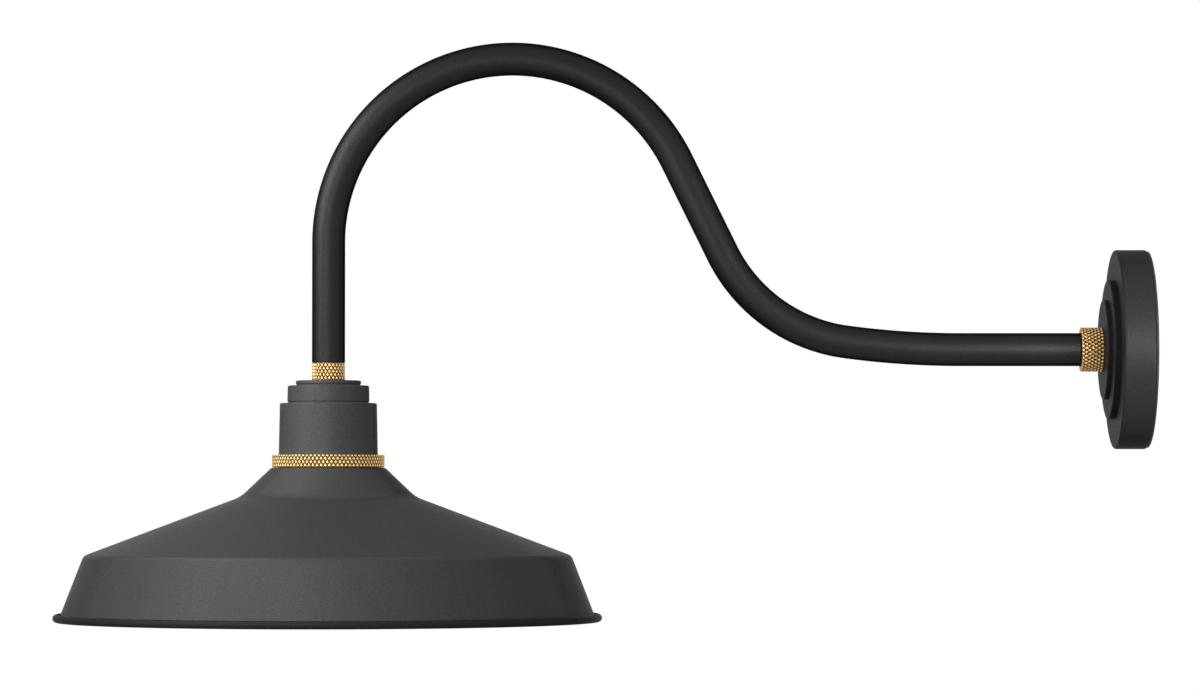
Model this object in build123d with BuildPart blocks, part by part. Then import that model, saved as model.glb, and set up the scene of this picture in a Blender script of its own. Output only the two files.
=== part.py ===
from build123d import *
import os
from math import asin, atan, atan2, cos, degrees, hypot, radians, sin, tan

# Gooseneck barn light.
# The wall is the plane X = 0, the light reaches out along -X and Z is up.
# The wall axis is the X axis; the shade hangs on a vertical axis at X = -reach.
# All sizes are millimetres and degrees.

# Clearances
running_gap = 0.3           # on the radius, between pieces that turn or slide past each other
fit_gap = 0.05              # on the radius, round a piece held fast in its seat
face_gap = 0.2              # between a hand-turned ring and the face it closes on

# Arm
arm_diameter = 25.0
arm_wall = 2.0
reach = 617.0               # wall to the shade's axis
arch_rise = 219.2           # wall axis to the arm's centre line at the top of the arch
arch_radius = 138.4
slope_angle = 63.8          # steepest fall behind the arch, below horizontal
reverse_radius = 121.7      # bend that levels the slope out
run_out_angle = 7.7         # fall still left where the reverse bend ends
run_out_radius = 645.0      # long easy bend into the level run
arm_tip_drop = 10.0         # wall axis to the arm's lower end
arm_seat = 20.0             # wall to the arm's wall end

# Wall canopy
canopy_diameter = 150.0
rim_depth = 25.4            # wall to the front of the rim
step_one_diameter = 105.0
step_one_height = 5.0
step_two_diameter = 75.0
step_two_height = 3.6
canopy_wall = 3.0
rim_wall = 4.0
rim_round = 1.6
step_round = 0.8
hub_wall = 5.4
hub_web = 4.0               # bottom of the arm's socket in the hub
spigot_wall = 1.6
spigot_length = 10.0
arm_seat_gap = 0.1
rib_thickness = 3.0
rib_back = 12.0             # wall to the ribs' back edge
rib_count = 4
rib_turn = 45.0             # first rib's turn from level
rib_root = 1.0              # overlap of a rib with the walls that it joins

# Wall hardware
gasket_thickness = 1.5
gasket_width = 8.0
gasket_edge = 1.0           # canopy rim to the gasket's outer edge
strap_width = 26.0
strap_thickness = 2.0
strap_span = 128.0          # outside of one ear to outside of the other
ear_length = 17.0           # wall to the ear's end
ear_bend = 4.0
strap_hole_diameter = 17.0
box_screw_spacing = 79.4
box_slot_width = 4.8
box_slot_length = 14.4
set_screw_diameter = 4.0
set_screw_from_wall = 10.5
set_screw_length = 12.0
set_screw_key = 2.0         # hexagon socket, across flats
ground_screw_diameter = 3.8
ground_head_diameter = 7.4
ground_head_height = 2.4
ground_screw_offset = 20.0  # wall axis to the earth screw
screw_slot_width = 1.0
screw_slot_depth = 0.9

# Nipple through the hub
nipple_diameter = 16.6
nipple_wall = 2.8
nipple_from_wall = 7.0
bush_length = 20.0
washer_thickness = 1.2
washer_diameter = 26.0
washer_tooth_count = 12
washer_tooth_gap = 3.0
wall_nut_flats = 24.0
nut_height = 5.0
nut_chamfer = 0.6
bushing_flange = 1.8
bushing_flange_diameter = 19.0
bushing_bore_diameter = 8.6
bushing_tail = 6.0

# Wall collar
collar_diameter = 33.3
collar_length = 16.5
collar_lip = 4.0
brass_chamfer = 0.6

# Union under the arm
coupling_diameter = 24.8
coupling_height = 13.0
coupling_lip = 3.4
coupling_wall = 2.1
tail_length = 20.0
tail_shoulder = 3.0
cup_nipple_wall = 3.5
cup_nipple_below = 8.0      # under the cup's top wall
cup_nut_flats = 27.0

# Socket cup
tier_one_diameter = 49.1
tier_one_height = 3.8
tier_two_diameter = 61.2
tier_two_height = 13.2
tier_three_diameter = 73.0
tier_three_height = 39.0
cup_draft = 1.1
cup_wall = 3.0
cup_round = 1.2
cup_skirt = 3.0             # length hidden in the ring
cup_neck_diameter = 66.0    # thread for the ring and the lock ring
cup_neck_wall = 3.2
cup_neck_below = 2.8        # under the lock ring

# Ring above the shade
ring_diameter = 84.6
ring_height = 9.2
ring_counterbore = 5.2
ring_gasket_thickness = 1.3
ring_gasket_width = 5.6
lock_ring_diameter = 81.0
lock_ring_height = 5.0
lock_slot_width = 6.0
lock_slot_depth = 2.5
lock_slot_count = 4
lock_slot_turn = 45.0       # first slot's turn from the wall's direction

# Shade
shade_diameter = 412.0      # over the rolled bead
shade_height = 115.9        # top to the bead's underside
shade_wall = 1.2
shade_neck_radius = 42.6    # flat top
shade_knee_radius = 65.7
shade_knee_drop = 22.0
shade_shoulder_radius = 183.0
shade_shoulder_drop = 66.2
shade_neck_bend = 4.0
shade_knee_bend = 26.0
shade_shoulder_bend = 6.5
bead_radius = 3.0
bead_turn = 250.0

# Lamp holder
boss_diameter = 9.0
boss_height = 5.0
strap_screw_spacing = 56.0
holder_strap_length = 64.0
holder_strap_width = 18.0
holder_strap_thickness = 2.0
holder_hole_diameter = 8.0
small_screw_diameter = 3.8
small_head_diameter = 7.0
small_head_height = 2.2
strap_screw_depth = 5.0     # into the boss
porcelain_diameter = 44.0
porcelain_top_diameter = 40.0
porcelain_top_height = 10.0
porcelain_length = 42.0
porcelain_top_wall = 12.5
porcelain_round = 1.5
socket_screw_spacing = 22.0
terminal_spacing = 29.0
porcelain_screw_depth = 7.0
shell_diameter = 27.9
shell_wall = 0.5
shell_flange = 5.0
shell_above_mouth = 1.5     # shell's lower edge above the porcelain's mouth
contact_thickness = 0.6
contact_width = 6.0
contact_length = 13.0
contact_drop = 3.0

# Lamp
lamp_length = 110.0
lamp_diameter = 60.0
lamp_glass_wall = 0.9
lamp_base_diameter = 26.2
lamp_base_wall = 0.6
lamp_base_length = 21.0
lamp_neck_sleeve = 7.0      # glass inside the base
lamp_tip_diameter = 9.6
lamp_tip_height = 1.6
lamp_insulator_height = 3.7
lamp_insulator_diameter = 20.4
lamp_shoulder = 2.0

# Radii
arm_radius = arm_diameter / 2
arm_bore_radius = arm_radius - arm_wall
canopy_radius = canopy_diameter / 2
step_one_radius = step_one_diameter / 2
step_two_radius = step_two_diameter / 2
seat_radius = arm_radius + arm_seat_gap
hub_radius = seat_radius + hub_wall
spigot_radius = seat_radius + spigot_wall
nipple_radius = nipple_diameter / 2
nipple_bore_radius = nipple_radius - nipple_wall
tail_radius = arm_bore_radius - fit_gap
collar_radius = collar_diameter / 2
collar_bore_radius = spigot_radius + running_gap
coupling_radius = coupling_diameter / 2
coupling_bore_radius = coupling_radius - coupling_wall
cup_nipple_radius = coupling_bore_radius - running_gap
cup_nipple_bore_radius = cup_nipple_radius - cup_nipple_wall
cup_neck_radius = cup_neck_diameter / 2
cup_neck_bore_radius = cup_neck_radius - cup_neck_wall
tier_one_radius = tier_one_diameter / 2
tier_two_radius = tier_two_diameter / 2
tier_three_radius = tier_three_diameter / 2
tier_two_foot = tier_two_radius + tier_two_height * tan(radians(cup_draft))
tier_three_foot = tier_three_radius + (tier_three_height + cup_skirt) * tan(radians(cup_draft))
ring_radius = ring_diameter / 2
small_radius = small_screw_diameter / 2
shell_radius = shell_diameter / 2
shell_bore_radius = shell_radius - shell_wall
porcelain_bore_radius = shell_radius + fit_gap
lamp_radius = lamp_diameter / 2
lamp_base_radius = lamp_base_diameter / 2
lamp_neck_radius = lamp_base_radius - lamp_base_wall - fit_gap

# Stations along the wall axis
canopy_front = rim_depth + step_one_height + step_two_height
spigot_end = canopy_front + spigot_length
hub_back = arm_seat - hub_web
washer_back = hub_back - washer_thickness
nut_back = washer_back - nut_height
collar_back = canopy_front + face_gap
collar_front = collar_back + collar_length
collar_lip_back = collar_front - collar_lip

# Heights on the shade's axis
arm_tip = -arm_tip_drop
coupling_top = arm_tip - face_gap
coupling_bottom = coupling_top - coupling_height
coupling_lip_bottom = coupling_top - coupling_lip
tail_shoulder_top = coupling_lip_bottom - running_gap
tail_bottom = tail_shoulder_top - tail_shoulder
cup_nipple_top = tail_bottom - running_gap
cup_top = coupling_bottom - face_gap
cup_ceiling = cup_top - cup_wall
cup_nipple_bottom = cup_ceiling - cup_nipple_below
tier_one_bottom = cup_top - tier_one_height
tier_two_bottom = tier_one_bottom - tier_two_height
tier_three_bottom = tier_two_bottom - tier_three_height
cup_skirt_bottom = tier_three_bottom - cup_skirt
ring_bottom = tier_three_bottom - ring_height
shade_top = ring_bottom - face_gap
shade_ceiling = shade_top - shade_wall
lock_ring_bottom = shade_ceiling - lock_ring_height
cup_neck_bottom = lock_ring_bottom - cup_neck_below
boss_bottom = tier_two_bottom - cup_wall - boss_height
holder_strap_bottom = boss_bottom - holder_strap_thickness
porcelain_bottom = holder_strap_bottom - porcelain_length
socket_ceiling = holder_strap_bottom - porcelain_top_wall
shell_bottom = porcelain_bottom + shell_above_mouth
contact_bottom = socket_ceiling - contact_drop
lamp_top = contact_bottom - running_gap
lamp_tip_bottom = lamp_top - lamp_tip_height
lamp_base_top = lamp_tip_bottom - lamp_insulator_height
lamp_base_bottom = lamp_base_top - lamp_base_length
lamp_centre = lamp_top - lamp_length + lamp_radius

# Planes and axes: the first sketch direction is X or the radius, the second is Z
wall_section = Plane.XZ
wall_axis = Axis.X
head_section = Plane(origin=(-reach, 0, 0), x_dir=(1, 0, 0), z_dir=(0, -1, 0))
head_axis = Axis((-reach, 0, 0), (0, 0, 1))


def head_level(height):
    """A level sketch plane on the shade's axis, facing up."""
    return Plane(origin=(-reach, 0, height), x_dir=(1, 0, 0), z_dir=(0, 0, 1))


def wall_level(distance):
    """An upright sketch plane at a distance from the wall, facing the room."""
    return Plane(origin=(-distance, 0, 0), x_dir=(0, 1, 0), z_dir=(-1, 0, 0))


def section(plane, *corners, rounds=0):
    """A closed section through the given corners, each with its own round or one for all."""
    with BuildSketch(plane) as face:
        with BuildLine():
            FilletPolyline(*corners, radius=rounds, close=True)
        make_face()
    return face.sketch


def wall_ring(inner, outer, back, front):
    """Section of a ring round the wall axis, between two distances from the wall."""
    return section(wall_section, (-back, inner), (-front, inner), (-front, outer), (-back, outer))


def head_ring(inner, outer, bottom, top):
    """Section of a ring round the shade's axis, between two heights."""
    return section(head_section, (inner, bottom), (outer, bottom), (outer, top), (inner, top))


def toothed_washer(plane, hole_radius, teeth_root):
    """Flat outline of a washer with outward teeth."""
    with BuildSketch(plane) as outline:
        Circle(washer_diameter / 2)
        with PolarLocations(washer_diameter / 2, washer_tooth_count):
            Rectangle(2 * (washer_diameter / 2 - teeth_root), washer_tooth_gap, mode=Mode.SUBTRACT)
        Circle(hole_radius, mode=Mode.SUBTRACT)
    return outline.sketch


def hexagon(plane, flats, hole_radius):
    """Flat outline of a hexagon nut."""
    with BuildSketch(plane) as outline:
        RegularPolygon(flats / 2, 6, major_radius=False)
        Circle(hole_radius, mode=Mode.SUBTRACT)
    return outline.sketch


def spots(plane, radius, *places):
    """Equal discs at the given places of a plane."""
    with BuildSketch(plane) as discs:
        with Locations(*places):
            Circle(radius)
    return discs.sketch


def head_slots(plane, length, *places):
    """Screwdriver slots at the given places of a plane."""
    with BuildSketch(plane) as slots:
        with Locations(*places):
            Rectangle(length, screw_slot_width)
    return slots.sketch


# Arm: straight drop, arch, straight slope, reverse bend, long run-out and level run to the wall
arch_foot = arch_rise - arch_radius
slope = radians(slope_angle)
run_out = radians(run_out_angle)
slope_fall = (
    arch_foot
    + arch_radius * cos(slope)
    - reverse_radius * (cos(run_out) - cos(slope))
    - run_out_radius * (1 - cos(run_out))
)
slope_length = slope_fall / sin(slope)

with BuildPart() as gooseneck_arm:
    with BuildLine(Plane.XZ) as arm_path:
        drop = Line((-reach, arm_tip), (-reach, arch_foot))
        arch = JernArc(drop @ 1, (0, 1), arch_radius, -(90 + slope_angle))
        fall = Line(arch @ 1, (arch @ 1) + (arch % 1) * slope_length)
        sweep_up = JernArc(fall @ 1, fall % 1, reverse_radius, slope_angle - run_out_angle)
        ease = JernArc(sweep_up @ 1, sweep_up % 1, run_out_radius, run_out_angle)
        Line(ease @ 1, (-arm_seat, 0))
    with BuildSketch(head_level(arm_tip)):
        Circle(arm_radius)
        Circle(arm_bore_radius, mode=Mode.SUBTRACT)
    sweep(path=arm_path.line)

# Wall canopy
cavity_one = rim_depth - canopy_wall
cavity_two = cavity_one + step_one_height
cavity_three = cavity_two + step_two_height

with BuildPart() as canopy_ribs:
    with BuildSketch(wall_level(rib_back)):
        with PolarLocations((hub_radius + canopy_radius - rim_wall) / 2, rib_count, start_angle=rib_turn):
            Rectangle(canopy_radius - rim_wall - hub_radius + 2 * rib_root, rib_thickness)
    extrude(amount=canopy_front)
    revolve(
        section(
            wall_section,
            (-rib_back, hub_radius - rib_root),
            (-rib_back, canopy_radius - rim_wall + rib_root),
            (-cavity_one - rib_root, canopy_radius - rim_wall + rib_root),
            (-cavity_one - rib_root, step_one_radius - canopy_wall),
            (-cavity_two - rib_root, step_one_radius - canopy_wall),
            (-cavity_two - rib_root, step_two_radius - canopy_wall),
            (-cavity_three - rib_root, step_two_radius - canopy_wall),
            (-cavity_three - rib_root, hub_radius - rib_root),
        ),
        axis=wall_axis,
        mode=Mode.INTERSECT,
    )

with BuildPart() as wall_canopy:
    revolve(
        section(
            wall_section,
            (-gasket_thickness, canopy_radius - rim_wall),
            (-gasket_thickness, canopy_radius),
            (-rim_depth, canopy_radius),
            (-rim_depth, step_one_radius),
            (-rim_depth - step_one_height, step_one_radius),
            (-rim_depth - step_one_height, step_two_radius),
            (-canopy_front, step_two_radius),
            (-canopy_front, spigot_radius),
            (-spigot_end, spigot_radius),
            (-spigot_end, seat_radius),
            (-arm_seat, seat_radius),
            (-arm_seat, nipple_radius + fit_gap),
            (-hub_back, nipple_radius + fit_gap),
            (-hub_back, hub_radius),
            (-cavity_three, hub_radius),
            (-cavity_three, step_two_radius - canopy_wall),
            (-cavity_two, step_two_radius - canopy_wall),
            (-cavity_two, step_one_radius - canopy_wall),
            (-cavity_one, step_one_radius - canopy_wall),
            (-cavity_one, canopy_radius - rim_wall),
            rounds=[0, rim_round, rim_round, 0, step_round, 0, step_round] + [0] * 13,
        ),
        axis=wall_axis,
    )
    add(canopy_ribs.part)
    with BuildSketch(Plane.XY):
        with Locations((-set_screw_from_wall, 0)):
            Circle(set_screw_diameter / 2 + fit_gap)
    extrude(amount=canopy_diameter, both=True, mode=Mode.SUBTRACT)

# Wall hardware
gasket_outer = canopy_radius - gasket_edge

with BuildPart() as wall_gasket:
    revolve(wall_ring(gasket_outer - gasket_width, gasket_outer, 0, gasket_thickness), axis=wall_axis)

ear_out = strap_span / 2
ear_in = ear_out - strap_thickness
box_slots = [(0, box_screw_spacing / 2), (0, -box_screw_spacing / 2)]

with BuildPart() as mounting_strap:
    strap_outline = section(
        Plane.XZ,
        (0, -ear_out),
        (0, ear_out),
        (-ear_length, ear_out),
        (-ear_length, ear_in),
        (-strap_thickness, ear_in),
        (-strap_thickness, -ear_in),
        (-ear_length, -ear_in),
        (-ear_length, -ear_out),
        rounds=[ear_bend, ear_bend, 0, 0, ear_bend - strap_thickness, ear_bend - strap_thickness, 0, 0],
    )
    extrude(strap_outline, amount=strap_width / 2, both=True)
    with BuildSketch(wall_level(0)):
        Circle(strap_hole_diameter / 2)
        with Locations((0, ground_screw_offset)):
            Circle(ground_screw_diameter / 2 + fit_gap)
        with Locations(*box_slots):
            SlotOverall(box_slot_length, box_slot_width, rotation=90)
    extrude(amount=strap_thickness, both=True, mode=Mode.SUBTRACT)
    with BuildSketch(Plane.XY):
        with Locations((-set_screw_from_wall, 0)):
            Circle(set_screw_diameter / 2 + fit_gap)
    extrude(amount=strap_span, both=True, mode=Mode.SUBTRACT)

set_screw_top = canopy_radius - rim_round / 2

with BuildPart() as canopy_set_screws:
    with BuildSketch(Plane.XY.offset(set_screw_top - set_screw_length)):
        with Locations((-set_screw_from_wall, 0)):
            Circle(set_screw_diameter / 2)
    extrude(amount=set_screw_length)
    with BuildSketch(Plane.XY.offset(set_screw_top)):
        with Locations((-set_screw_from_wall, 0)):
            RegularPolygon(set_screw_key / 2, 6, major_radius=False)
    extrude(amount=-set_screw_key, mode=Mode.SUBTRACT)
    mirror(about=Plane.XY)

ground_place = (0, ground_screw_offset)

with BuildPart() as ground_screw:
    extrude(spots(wall_level(0), ground_screw_diameter / 2, ground_place), amount=strap_thickness)
    extrude(
        spots(wall_level(strap_thickness), ground_head_diameter / 2, ground_place),
        amount=ground_head_height,
    )
    extrude(
        head_slots(wall_level(strap_thickness + ground_head_height), ground_head_diameter, ground_place),
        amount=-screw_slot_depth,
        mode=Mode.SUBTRACT,
    )

# Nipple through the hub
with BuildPart() as arm_wall_bush:
    revolve(wall_ring(nipple_radius + fit_gap, tail_radius, arm_seat, arm_seat + bush_length), axis=wall_axis)

with BuildPart() as wall_nipple:
    revolve(
        wall_ring(nipple_bore_radius, nipple_radius, nipple_from_wall, arm_seat + bush_length),
        axis=wall_axis,
    )

with BuildPart() as wall_lock_washer:
    wall_washer_root = (washer_diameter / 2 + nipple_radius) / 2
    extrude(
        toothed_washer(wall_level(washer_back), nipple_radius + fit_gap, wall_washer_root),
        amount=washer_thickness,
    )

with BuildPart() as wall_lock_nut:
    extrude(hexagon(wall_level(nut_back), wall_nut_flats, nipple_radius + fit_gap), amount=nut_height)
    chamfer(wall_lock_nut.edges().filter_by(GeomType.LINE).filter_by(Axis.X, reverse=True), nut_chamfer)

with BuildPart() as wire_bushing:
    revolve(
        section(
            wall_section,
            (-nipple_from_wall + bushing_flange, bushing_bore_diameter / 2),
            (-nipple_from_wall + bushing_flange, bushing_flange_diameter / 2),
            (-nipple_from_wall, bushing_flange_diameter / 2),
            (-nipple_from_wall, nipple_bore_radius - fit_gap),
            (-nipple_from_wall - bushing_tail, nipple_bore_radius - fit_gap),
            (-nipple_from_wall - bushing_tail, bushing_bore_diameter / 2),
            rounds=[bushing_flange / 3, bushing_flange / 3, 0, 0, 0, 0],
        ),
        axis=wall_axis,
    )

# Wall collar and its seal
collar_lip_radius = arm_radius + running_gap

with BuildPart() as wall_collar:
    revolve(
        section(
            wall_section,
            (-collar_back, collar_bore_radius),
            (-collar_back, collar_radius),
            (-collar_front, collar_radius),
            (-collar_front, collar_lip_radius),
            (-collar_lip_back, collar_lip_radius),
            (-collar_lip_back, collar_bore_radius),
        ),
        axis=wall_axis,
    )
    chamfer(wall_collar.edges().filter_by(GeomType.CIRCLE).group_by(SortBy.RADIUS)[-1], brass_chamfer)

with BuildPart() as collar_seal:
    revolve(
        wall_ring(
            arm_radius + running_gap / 2,
            collar_bore_radius - running_gap / 2,
            spigot_end + running_gap,
            collar_lip_back - face_gap / 2,
        ),
        axis=wall_axis,
    )

# Union under the arm
with BuildPart() as arm_union_tail:
    revolve(
        section(
            head_section,
            (nipple_bore_radius, tail_bottom),
            (cup_nipple_radius, tail_bottom),
            (cup_nipple_radius, tail_shoulder_top),
            (nipple_radius, tail_shoulder_top),
            (nipple_radius, arm_tip),
            (tail_radius, arm_tip),
            (tail_radius, arm_tip + tail_length),
            (nipple_bore_radius, arm_tip + tail_length),
        ),
        axis=head_axis,
    )

with BuildPart() as shade_coupling:
    revolve(
        section(
            head_section,
            (coupling_bore_radius, coupling_bottom),
            (coupling_radius, coupling_bottom),
            (coupling_radius, coupling_top),
            (nipple_radius + running_gap, coupling_top),
            (nipple_radius + running_gap, coupling_lip_bottom),
            (coupling_bore_radius, coupling_lip_bottom),
        ),
        axis=head_axis,
    )
    chamfer(shade_coupling.edges().filter_by(GeomType.CIRCLE).group_by(SortBy.RADIUS)[-1], brass_chamfer)

with BuildPart() as cup_nipple:
    revolve(
        head_ring(cup_nipple_bore_radius, cup_nipple_radius, cup_nipple_bottom, cup_nipple_top),
        axis=head_axis,
    )

cup_washer_bottom = cup_ceiling - washer_thickness

with BuildPart() as cup_lock_washer:
    cup_washer_root = (washer_diameter / 2 + cup_nipple_radius) / 2
    extrude(
        toothed_washer(head_level(cup_washer_bottom), cup_nipple_radius + fit_gap, cup_washer_root),
        amount=washer_thickness,
    )

with BuildPart() as cup_lock_nut:
    extrude(
        hexagon(head_level(cup_washer_bottom - nut_height), cup_nut_flats, cup_nipple_radius + fit_gap),
        amount=nut_height,
    )
    chamfer(cup_lock_nut.edges().filter_by(GeomType.LINE).filter_by(Axis.Z, reverse=True), nut_chamfer)

# Socket cup
boss_places = [(strap_screw_spacing / 2, 0), (-strap_screw_spacing / 2, 0)]

with BuildPart() as socket_cup:
    revolve(
        section(
            head_section,
            (cup_nipple_radius + fit_gap, cup_top),
            (tier_one_radius, cup_top),
            (tier_one_radius, tier_one_bottom),
            (tier_two_radius, tier_one_bottom),
            (tier_two_foot, tier_two_bottom),
            (tier_three_radius, tier_two_bottom),
            (tier_three_foot, cup_skirt_bottom),
            (cup_neck_radius, cup_skirt_bottom),
            (cup_neck_radius, cup_neck_bottom),
            (cup_neck_bore_radius, cup_neck_bottom),
            (cup_neck_bore_radius, cup_skirt_bottom + cup_wall),
            (tier_three_foot - cup_wall, cup_skirt_bottom + cup_wall),
            (tier_three_radius - cup_wall, tier_two_bottom - cup_wall),
            (tier_two_foot - cup_wall, tier_two_bottom - cup_wall),
            (tier_two_radius - cup_wall, tier_one_bottom - cup_wall),
            (tier_one_radius - cup_wall, tier_one_bottom - cup_wall),
            (tier_one_radius - cup_wall, cup_ceiling),
            (cup_nipple_radius + fit_gap, cup_ceiling),
            rounds=[0, cup_round, 0, cup_round, 0, cup_round] + [0] * 12,
        ),
        axis=head_axis,
    )
    extrude(
        spots(head_level(tier_two_bottom - cup_wall / 2), boss_diameter / 2, *boss_places),
        amount=-(cup_wall / 2 + boss_height),
    )
    extrude(
        spots(head_level(boss_bottom), small_radius + fit_gap, *boss_places),
        amount=strap_screw_depth,
        mode=Mode.SUBTRACT,
    )

# Ring above the shade, its gasket and the lock ring below
neck_clear_radius = cup_neck_radius + running_gap
gasket_recess = ring_gasket_thickness + face_gap
gasket_recess_radius = neck_clear_radius + ring_gasket_width + running_gap

with BuildPart() as shade_ring:
    revolve(
        section(
            head_section,
            (gasket_recess_radius, ring_bottom),
            (ring_radius, ring_bottom),
            (ring_radius, tier_three_bottom),
            (tier_three_foot + running_gap, tier_three_bottom),
            (tier_three_foot + running_gap, tier_three_bottom - ring_counterbore),
            (neck_clear_radius, tier_three_bottom - ring_counterbore),
            (neck_clear_radius, ring_bottom + gasket_recess),
            (gasket_recess_radius, ring_bottom + gasket_recess),
        ),
        axis=head_axis,
    )
    chamfer(shade_ring.edges().filter_by(GeomType.CIRCLE).group_by(SortBy.RADIUS)[-1], brass_chamfer)

with BuildPart() as ring_gasket:
    revolve(
        head_ring(
            neck_clear_radius,
            neck_clear_radius + ring_gasket_width,
            ring_bottom + face_gap / 2,
            ring_bottom + face_gap / 2 + ring_gasket_thickness,
        ),
        axis=head_axis,
    )

with BuildPart() as shade_lock_ring:
    revolve(
        head_ring(cup_neck_radius + fit_gap, lock_ring_diameter / 2, lock_ring_bottom, shade_ceiling),
        axis=head_axis,
    )
    with BuildSketch(head_level(lock_ring_bottom)):
        with PolarLocations(lock_ring_diameter / 2, lock_slot_count, start_angle=lock_slot_turn):
            Rectangle(2 * lock_slot_depth, lock_slot_width)
    extrude(amount=lock_ring_height, mode=Mode.SUBTRACT)

# Shade: the outer line of the sheet, its bead rolled outward, then the sheet's thickness inward
curl_radius = bead_radius - shade_wall
bead_out = shade_diameter / 2 - bead_radius
bead_height = shade_top - shade_height + bead_radius
knee_height = shade_top - shade_knee_drop
shoulder_height = shade_top - shade_shoulder_drop
bead_aim = atan2(bead_out - shade_shoulder_radius, shoulder_height - bead_height)
bead_distance = hypot(bead_out - shade_shoulder_radius, shoulder_height - bead_height)
skirt_lean = bead_aim - asin(curl_radius / bead_distance)
skirt_length = bead_distance * cos(bead_aim - skirt_lean)
skirt_foot = (
    shade_shoulder_radius + skirt_length * sin(skirt_lean),
    shoulder_height - skirt_length * cos(skirt_lean),
)

with BuildPart() as shade:
    with BuildSketch(head_section):
        with BuildLine():
            FilletPolyline(
                (neck_clear_radius, shade_top),
                (shade_neck_radius, shade_top),
                (shade_knee_radius, knee_height),
                (shade_shoulder_radius, shoulder_height),
                skirt_foot,
                radius=[shade_neck_bend, shade_knee_bend, shade_shoulder_bend],
            )
            JernArc(skirt_foot, (sin(skirt_lean), -cos(skirt_lean)), curl_radius, bead_turn)
            offset(amount=shade_wall, side=Side.RIGHT)
        make_face()
    revolve(axis=head_axis)

# Lamp holder
with BuildPart() as socket_strap:
    with BuildSketch(head_level(holder_strap_bottom)):
        RectangleRounded(holder_strap_length, holder_strap_width, holder_strap_width / 3)
        Circle(holder_hole_diameter / 2, mode=Mode.SUBTRACT)
        with Locations(*boss_places):
            Circle(small_radius + fit_gap, mode=Mode.SUBTRACT)
        with GridLocations(socket_screw_spacing, 1, 2, 1):
            Circle(small_radius + fit_gap, mode=Mode.SUBTRACT)
    extrude(amount=holder_strap_thickness)

with BuildPart() as strap_screws:
    extrude(
        spots(head_level(holder_strap_bottom), small_radius, *boss_places),
        amount=holder_strap_thickness + strap_screw_depth,
    )
    extrude(
        spots(head_level(holder_strap_bottom), small_head_diameter / 2, *boss_places),
        amount=-small_head_height,
    )
    extrude(
        head_slots(head_level(holder_strap_bottom - small_head_height), small_head_diameter, *boss_places),
        amount=screw_slot_depth,
        mode=Mode.SUBTRACT,
    )

socket_screw_places = [(socket_screw_spacing / 2, 0), (-socket_screw_spacing / 2, 0)]
terminal_places = [(0, terminal_spacing / 2), (0, -terminal_spacing / 2)]

with BuildPart() as socket_body:
    revolve(
        section(
            head_section,
            (0, holder_strap_bottom),
            (porcelain_top_diameter / 2, holder_strap_bottom),
            (porcelain_top_diameter / 2, holder_strap_bottom - porcelain_top_height),
            (porcelain_diameter / 2, holder_strap_bottom - porcelain_top_height),
            (porcelain_diameter / 2, porcelain_bottom),
            (porcelain_bore_radius, porcelain_bottom),
            (porcelain_bore_radius, socket_ceiling),
            (0, socket_ceiling),
            rounds=[0, porcelain_round, 0, porcelain_round, porcelain_round, porcelain_round, 0, 0],
        ),
        axis=head_axis,
    )
    extrude(
        spots(
            head_level(holder_strap_bottom),
            small_radius + fit_gap,
            *socket_screw_places,
            *terminal_places,
        ),
        amount=-porcelain_screw_depth,
        mode=Mode.SUBTRACT,
    )

with BuildPart() as socket_screws:
    extrude(
        spots(head_level(boss_bottom), small_radius, *socket_screw_places),
        amount=-(holder_strap_thickness + porcelain_screw_depth),
    )
    extrude(
        spots(head_level(boss_bottom), small_head_diameter / 2, *socket_screw_places),
        amount=small_head_height,
    )
    extrude(
        head_slots(head_level(boss_bottom + small_head_height), small_head_diameter, *socket_screw_places),
        amount=-screw_slot_depth,
        mode=Mode.SUBTRACT,
    )

with BuildPart() as terminal_screws:
    extrude(
        spots(head_level(holder_strap_bottom), small_radius, *terminal_places),
        amount=-porcelain_screw_depth,
    )
    extrude(
        spots(head_level(holder_strap_bottom), small_head_diameter / 2, *terminal_places),
        amount=small_head_height,
    )
    extrude(
        head_slots(
            head_level(holder_strap_bottom + small_head_height),
            small_head_diameter,
            *terminal_places,
        ),
        amount=-screw_slot_depth,
        mode=Mode.SUBTRACT,
    )

with BuildPart() as screw_shell:
    revolve(
        section(
            head_section,
            (shell_bore_radius, shell_bottom),
            (shell_radius, shell_bottom),
            (shell_radius, socket_ceiling),
            (shell_radius - shell_flange, socket_ceiling),
            (shell_radius - shell_flange, socket_ceiling - shell_wall),
            (shell_bore_radius, socket_ceiling - shell_wall),
        ),
        axis=head_axis,
    )

contact_half = contact_length / 2

with BuildPart() as centre_contact:
    with BuildSketch(head_section):
        with BuildLine():
            FilletPolyline(
                (-contact_half, socket_ceiling),
                (contact_half, socket_ceiling),
                (0, contact_bottom),
                (-contact_half / 2, contact_bottom),
                radius=[contact_thickness, contact_thickness],
            )
            offset(amount=contact_thickness, side=Side.RIGHT)
        make_face()
    extrude(amount=contact_width / 2, both=True)

# Lamp
with BuildPart() as lamp_contact:
    revolve(
        section(
            head_section,
            (0, lamp_tip_bottom),
            (lamp_tip_diameter / 2, lamp_tip_bottom),
            (lamp_tip_diameter / 2, lamp_tip_bottom + lamp_tip_height / 2),
            (lamp_tip_diameter / 4, lamp_top),
            (0, lamp_top),
        ),
        axis=head_axis,
    )

insulator_radius = lamp_insulator_diameter / 2

with BuildPart() as lamp_insulator:
    revolve(
        section(
            head_section,
            (0, lamp_base_top - lamp_base_wall),
            (insulator_radius, lamp_base_top - lamp_base_wall),
            (insulator_radius, lamp_base_top),
            (lamp_tip_diameter / 2, lamp_tip_bottom),
            (0, lamp_tip_bottom),
        ),
        axis=head_axis,
    )

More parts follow.
